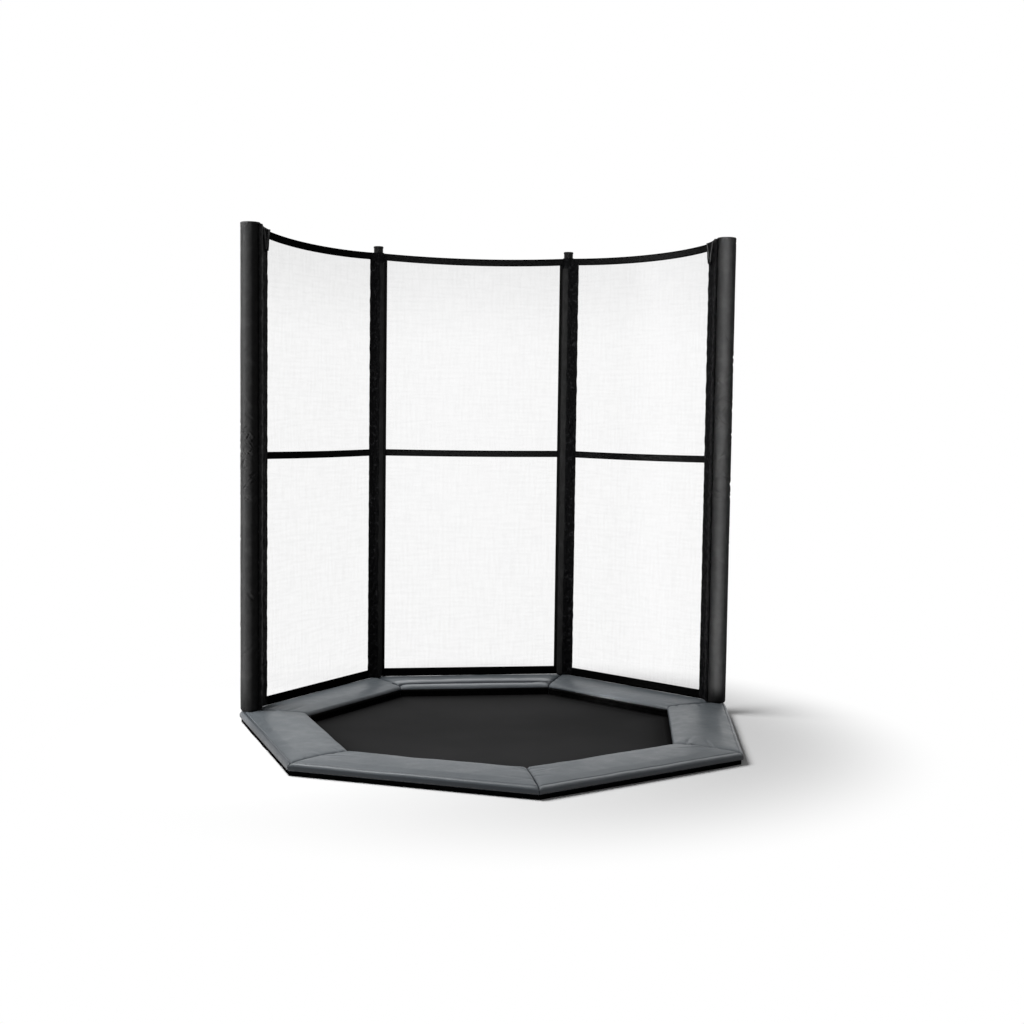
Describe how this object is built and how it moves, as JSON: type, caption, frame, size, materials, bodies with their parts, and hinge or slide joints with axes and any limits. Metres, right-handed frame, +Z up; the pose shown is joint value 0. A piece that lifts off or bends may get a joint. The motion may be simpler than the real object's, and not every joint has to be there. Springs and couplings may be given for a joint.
{
  "type": "trampoline",
  "caption": "In-ground seven-sided trampoline with padded edge, sprung mat and a half-round safety net on padded posts.",
  "frame": {"origin": "middle of the bounding box's base, on the plane of the feet's undersides", "axes": "+Z up; the netted half faces +Y and the open half faces -Y; +X is to the right seen from the open half"},
  "size_m": [1.8776, 1.8305, 2.0516],
  "materials": {
    "galvanised_steel": "dull zinc coating on tube",
    "spring_steel": "bright zinc-plated wire",
    "black_powder_coat": "satin black powder coat",
    "black_cap_plastic": "moulded black, lightly grained",
    "black_sleeve_vinyl": "soft black coated fabric over foam, slightly shiny",
    "slate_pad_vinyl": "slate grey coated fabric over foam, satin",
    "black_mat_weave": "tight matt black weave",
    "black_webbing": "matt black woven webbing",
    "pale_netting": "fine open mesh that reads as a pale haze"
  },
  "bodies": {
    "frame": {"top_rail_ab": "galvanised_steel", "top_rail_bc": "galvanised_steel", "top_rail_cd": "galvanised_steel", "top_rail_de": "galvanised_steel", "top_rail_ef": "galvanised_steel", "top_rail_fg": "galvanised_steel", "top_rail_ga": "galvanised_steel", "corner_socket_a": "galvanised_steel", "corner_socket_b": "galvanised_steel", "corner_socket_c": "galvanised_steel", "corner_socket_d": "galvanised_steel", "corner_socket_e": "galvanised_steel", "corner_socket_f": "galvanised_steel", "corner_socket_g": "galvanised_steel", "leg_a": "galvanised_steel", "leg_b": "galvanised_steel", "leg_c": "galvanised_steel", "leg_d": "galvanised_steel", "leg_e": "galvanised_steel", "leg_f": "galvanised_steel", "leg_g": "galvanised_steel", "spring_row_ab": "spring_steel", "spring_row_bc": "spring_steel", "spring_row_cd": "spring_steel", "spring_row_de": "spring_steel", "spring_row_ef": "spring_steel", "spring_row_fg": "spring_steel", "spring_row_ga": "spring_steel", "pad_ab": "slate_pad_vinyl", "pad_bc": "slate_pad_vinyl", "pad_cd": "slate_pad_vinyl", "pad_de": "slate_pad_vinyl", "pad_ef": "slate_pad_vinyl", "pad_fg": "slate_pad_vinyl", "pad_ga": "slate_pad_vinyl", "post_a": "black_powder_coat", "post_bracket_a": "black_powder_coat", "post_sleeve_a": "black_sleeve_vinyl", "post_cap_a": "black_cap_plastic", "post_b": "black_powder_coat", "post_bracket_b": "black_powder_coat", "post_sleeve_b": "black_sleeve_vinyl", "post_cap_b": "black_cap_plastic", "post_c": "black_powder_coat", "post_bracket_c": "black_powder_coat", "post_sleeve_c": "black_sleeve_vinyl", "post_cap_c": "black_cap_plastic", "post_d": "black_powder_coat", "post_bracket_d": "black_powder_coat", "post_sleeve_d": "black_sleeve_vinyl", "post_cap_d": "black_cap_plastic", "net_border_ab": "black_webbing", "net_panel_ab": "pale_netting", "net_border_bc": "black_webbing", "net_panel_bc": "pale_netting", "net_border_cd": "black_webbing", "net_panel_cd": "pale_netting"},
    "mat": {"mat": "black_mat_weave"}
  },
  "joints": [
    {"name": "mat_bounce", "type": "slide", "parent": "frame", "child": "mat", "axis": [0, 0, 1], "range_m": [-0.12, 0.01], "stiffness_N_per_m": 3500, "springref_m": 0.004, "deforming": ["spring_row_ab", "spring_row_bc", "spring_row_cd", "spring_row_de", "spring_row_ef", "spring_row_fg", "spring_row_ga"]}
  ]
}
